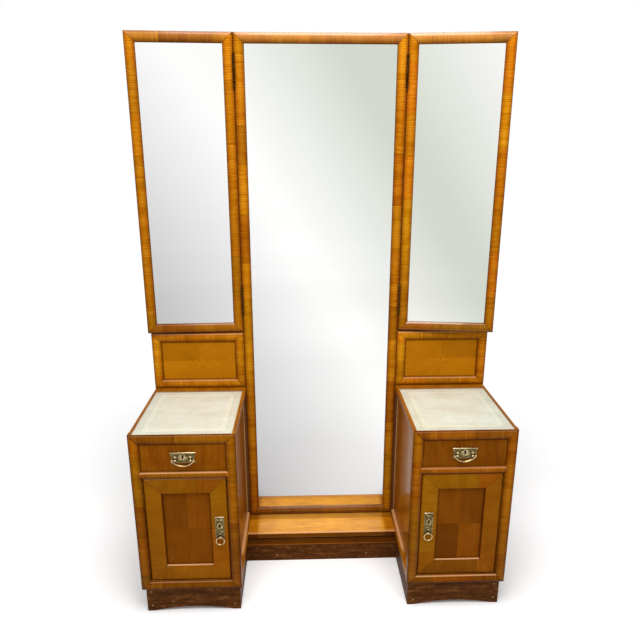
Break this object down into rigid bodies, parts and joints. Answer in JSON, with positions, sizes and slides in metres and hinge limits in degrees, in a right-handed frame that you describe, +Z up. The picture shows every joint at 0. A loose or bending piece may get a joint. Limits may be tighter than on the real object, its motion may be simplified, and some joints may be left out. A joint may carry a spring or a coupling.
{
  "type": "dressing table",
  "caption": "Tall dressing table with a fixed centre mirror, hinged wing mirrors, and leather-topped pedestals that each hold a drawer over a cupboard.",
  "frame": {"origin": "on the floor, midway across the width and midway through the depth of the pedestals", "axes": "+X along the width to the right seen from the front, +Y to the back, +Z up"},
  "size_m": [1.1886, 0.384, 1.8],
  "materials": {
    "veneer": "glossy polished honey-coloured fruitwood veneer",
    "carcase_wood": "plain unpolished softwood",
    "plinth_wood": "dark red-brown stain, scuffed",
    "mirror_glass": "silvered glass",
    "cover_glass": "clear polished sheet",
    "tooled_leather": "cream hide with a tooled border",
    "handle_brass": "aged pale brass",
    "hinge_brass": "dark antique brass",
    "lock_steel": "dull brushed steel"
  },
  "bodies": {
    "table": {"backsplash_frame_left": "veneer", "backsplash_frame_right": "veneer", "backsplash_panels": "veneer", "centre_mirror_backboard": "carcase_wood", "centre_mirror_frame": "veneer", "centre_mirror_glass": "mirror_glass", "centre_plinth": "plinth_wood", "centre_shelf": "veneer", "cupboard_shelves": "carcase_wood", "door_pivot_pins": "lock_steel", "door_stops": "carcase_wood", "drawer_dividers": "carcase_wood", "drawer_runners": "carcase_wood", "pedestal_backs": "carcase_wood", "pedestal_base_rails": "veneer", "pedestal_bottoms": "carcase_wood", "pedestal_face_left": "veneer", "pedestal_face_right": "veneer", "pedestal_plinths": "plinth_wood", "pedestal_side_panels": "veneer", "shelf_apron": "veneer", "shelf_bearers": "carcase_wood", "top_board_left": "veneer", "top_board_right": "veneer", "top_glasses": "cover_glass", "top_leathers": "tooled_leather", "wing_hinge_fixed_leaves": "hinge_brass"},
    "wing_left": {"wing_backboard_left": "carcase_wood", "wing_frame_left": "veneer", "wing_glass_left": "mirror_glass", "wing_hinge_leaves_left": "hinge_brass"},
    "drawer_left": {"drawer_box_left": "carcase_wood", "drawer_front_left": "veneer", "drawer_lock_left": "lock_steel", "drawer_pull_plate_left": "handle_brass"},
    "door_left": {"door_frame_left": "veneer", "door_lock_left": "lock_steel", "door_panel_left": "veneer", "door_plate_left": "handle_brass"},
    "bail_left": {"drawer_bail_left": "handle_brass"},
    "ring_left": {"door_ring_left": "handle_brass"},
    "drawer_bolt_left": {"drawer_bolt_left": "lock_steel"},
    "door_bolt_left": {"door_bolt_left": "lock_steel"},
    "wing_right": {"wing_backboard_right": "carcase_wood", "wing_frame_right": "veneer", "wing_glass_right": "mirror_glass", "wing_hinge_leaves_right": "hinge_brass"},
    "drawer_right": {"drawer_box_right": "carcase_wood", "drawer_front_right": "veneer", "drawer_lock_right": "lock_steel", "drawer_pull_plate_right": "handle_brass"},
    "door_right": {"door_frame_right": "veneer", "door_lock_right": "lock_steel", "door_panel_right": "veneer", "door_plate_right": "handle_brass"},
    "bail_right": {"drawer_bail_right": "handle_brass"},
    "ring_right": {"door_ring_right": "handle_brass"},
    "drawer_bolt_right": {"drawer_bolt_right": "lock_steel"},
    "door_bolt_right": {"door_bolt_right": "lock_steel"}
  },
  "joints": [
    {"name": "wing_hinge_left", "type": "hinge", "parent": "table", "child": "wing_left", "pos_m": [-0.2682, 0.1695, 1.326], "axis": [0, 0, 1], "range_deg": [-2.3, 87.7]},
    {"name": "drawer_slide_left", "type": "slide", "parent": "table", "child": "drawer_left", "axis": [0, -1, 0], "range_m": [0, 0.24]},
    {"name": "door_hinge_left", "type": "hinge", "parent": "table", "child": "door_left", "pos_m": [-0.548, -0.1775, 0.3135], "axis": [0, 0, -1], "range_deg": [0, 95]},
    {"name": "bail_hinge_left", "type": "hinge", "parent": "drawer_left", "child": "bail_left", "pos_m": [-0.4275, -0.1886, 0.56], "axis": [-1, 0, 0], "range_deg": [0, 100]},
    {"name": "ring_hinge_left", "type": "hinge", "parent": "door_left", "child": "ring_left", "pos_m": [-0.328, -0.1894, 0.2895], "axis": [-1, 0, 0], "range_deg": [0, 90]},
    {"name": "drawer_bolt_slide_left", "type": "slide", "parent": "drawer_left", "child": "drawer_bolt_left", "axis": [0, 0, 1], "range_m": [0, 0.007]},
    {"name": "door_bolt_slide_left", "type": "slide", "parent": "door_left", "child": "door_bolt_left", "axis": [1, 0, 0], "range_m": [0, 0.007]},
    {"name": "wing_hinge_right", "type": "hinge", "parent": "table", "child": "wing_right", "pos_m": [0.2682, 0.1695, 1.326], "axis": [0, 0, -1], "range_deg": [-6.9, 83.1]},
    {"name": "drawer_slide_right", "type": "slide", "parent": "table", "child": "drawer_right", "axis": [0, -1, 0], "range_m": [0, 0.24]},
    {"name": "door_hinge_right", "type": "hinge", "parent": "table", "child": "door_right", "pos_m": [0.548, -0.1775, 0.3135], "axis": [0, 0, 1], "range_deg": [0, 95]},
    {"name": "bail_hinge_right", "type": "hinge", "parent": "drawer_right", "child": "bail_right", "pos_m": [0.4275, -0.1886, 0.56], "axis": [-1, 0, 0], "range_deg": [0, 100]},
    {"name": "ring_hinge_right", "type": "hinge", "parent": "door_right", "child": "ring_right", "pos_m": [0.328, -0.1894, 0.2895], "axis": [-1, 0, 0], "range_deg": [0, 90]},
    {"name": "drawer_bolt_slide_right", "type": "slide", "parent": "drawer_right", "child": "drawer_bolt_right", "axis": [0, 0, 1], "range_m": [0, 0.007]},
    {"name": "door_bolt_slide_right", "type": "slide", "parent": "door_right", "child": "door_bolt_right", "axis": [-1, 0, 0], "range_m": [0, 0.007]}
  ]
}
